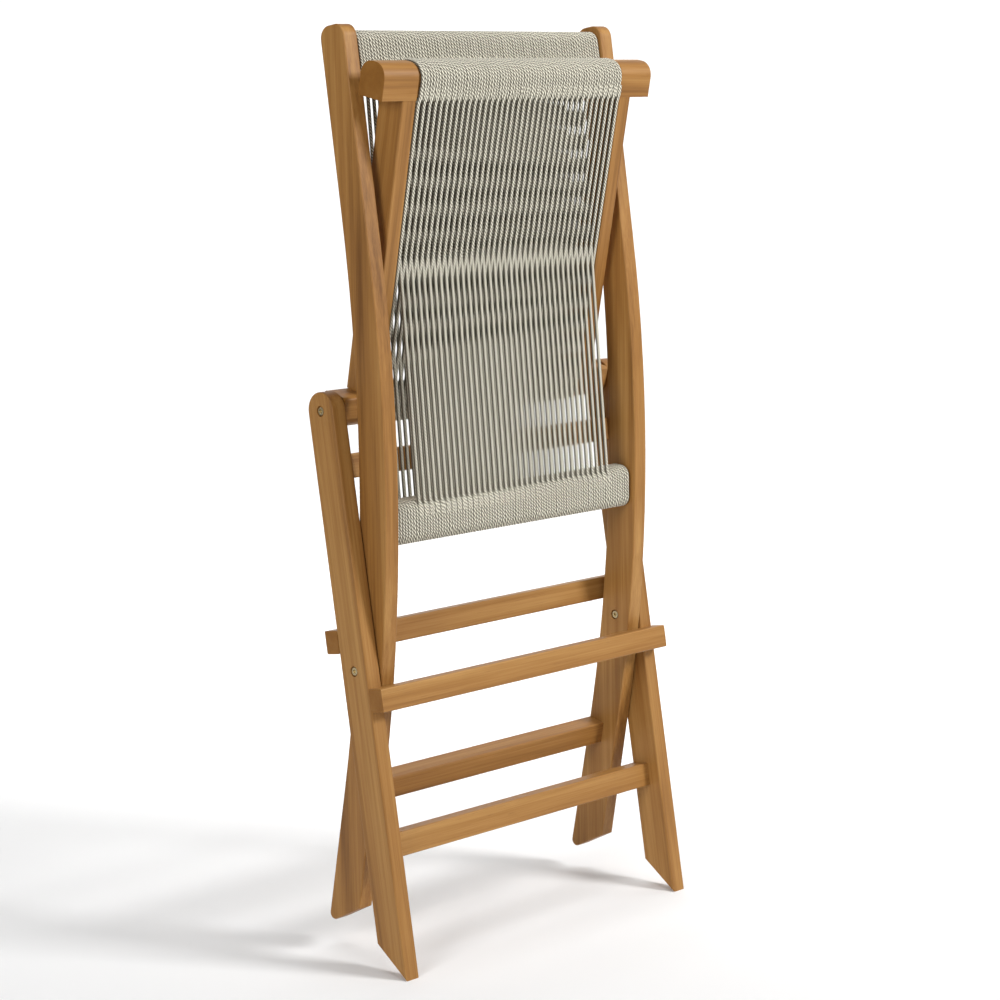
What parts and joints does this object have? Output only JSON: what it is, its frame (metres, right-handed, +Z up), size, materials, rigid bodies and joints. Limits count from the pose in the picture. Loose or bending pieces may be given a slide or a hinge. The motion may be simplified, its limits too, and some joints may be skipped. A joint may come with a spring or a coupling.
{
  "type": "folding deck chair",
  "caption": "Folding timber deck chair with curved back rails, crossed leg rails and a seat and back of taut wound cord, folded upright.",
  "frame": {"origin": "middle of the folded chair's outline on the ground", "axes": "+X to the sitter's left, +Y to the rear of the chair, +Z up"},
  "size_m": [0.52, 0.1816, 1.1884],
  "materials": {
    "teak": "satin",
    "rope": "matte",
    "brass": "satin"
  },
  "bodies": {
    "leg_frame": {"leg_rail_left": "teak", "leg_rail_right": "teak", "leg_front_stretcher": "teak", "leg_rear_stretcher": "teak", "leg_foot_stretcher": "teak", "leg_top_stretcher": "teak", "pivot_bolt_left": "brass", "pivot_bolt_right": "brass", "pivot_nut_left": "brass", "pivot_nut_right": "brass", "pivot_washer_left": "brass", "pivot_washer_right": "brass"},
    "back_frame": {"back_rail_left": "teak", "back_rail_right": "teak", "back_stretcher": "teak", "back_top_bar": "teak", "back_bottom_bar": "teak", "back_top_wrap": "rope", "back_bottom_wrap": "rope", "back_strands_front": "rope", "back_strands_rear": "rope"},
    "seat_frame": {"seat_rail_left": "teak", "seat_rail_right": "teak", "seat_rear_bar": "teak", "seat_front_bar": "teak", "seat_rear_wrap": "rope", "seat_front_wrap": "rope", "seat_strands_upper": "rope", "seat_strands_lower": "rope", "hinge_bolt_left": "brass", "hinge_bolt_right": "brass", "hinge_washer_left": "brass", "hinge_washer_right": "brass"}
  },
  "joints": [
    {"name": "fold", "type": "hinge", "parent": "leg_frame", "child": "back_frame", "pos_m": [0, -0.00514, 0.38471], "axis": [-1, 0, 0], "range_deg": [0, 61]},
    {"name": "seat_hinge", "type": "hinge", "parent": "leg_frame", "child": "seat_frame", "pos_m": [0, -0.06539, 0.70977], "axis": [-1, 0, 0], "range_deg": [0, 115.5]}
  ],
  "couplings": [
    {"joint": "seat_hinge", "follows": "fold", "ratio": 1.892}
  ]
}
